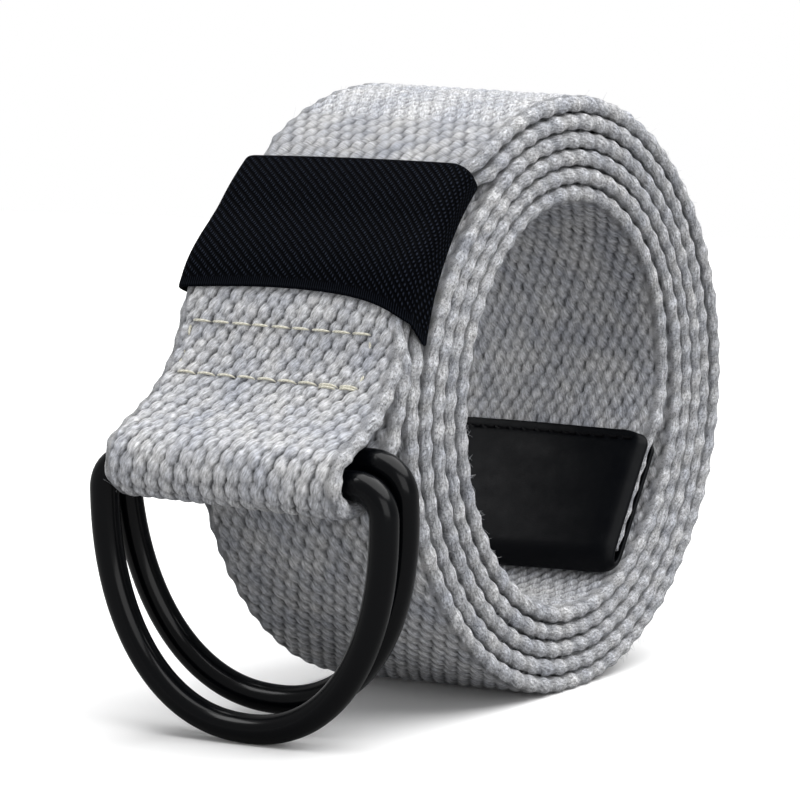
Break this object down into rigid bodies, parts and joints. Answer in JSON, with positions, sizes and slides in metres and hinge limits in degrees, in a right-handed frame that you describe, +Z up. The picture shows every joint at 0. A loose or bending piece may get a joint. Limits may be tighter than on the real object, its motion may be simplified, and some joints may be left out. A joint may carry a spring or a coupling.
{
  "type": "double ring belt",
  "caption": "Rolled webbing belt standing on its edge, with hanging black D-rings in its folded end, an elastic keeper and a leather tip.",
  "frame": {"origin": "on the floor, under the middle of the bounding box", "axes": "+X from the rings to the roll, +Y along the roll's axis from its near rim to its far rim, +Z up"},
  "size_m": [0.1142, 0.0502, 0.0926],
  "materials": {
    "webbing": "matte heathered light grey",
    "elastic": "matte black twill",
    "leather": "satin black",
    "black_paint": "gloss black"
  },
  "bodies": {
    "strap": {"webbing_strap": "webbing", "elastic_keeper": "elastic", "leather_tip": "leather"},
    "front": {"ring_front": "black_paint"},
    "back": {"ring_back": "black_paint"}
  },
  "joints": [
    {"name": "front_ring_swing", "type": "hinge", "parent": "strap", "child": "front", "pos_m": [-0.04987, 0, 0.03947], "axis": [-0.0994, 0.9943, 0.0398], "range_deg": [0, 150]},
    {"name": "back_ring_swing", "type": "hinge", "parent": "strap", "child": "back", "pos_m": [-0.04533, 0, 0.04199], "axis": [-0.0994, 0.9943, 0.0398], "range_deg": [-20, 0]}
  ]
}
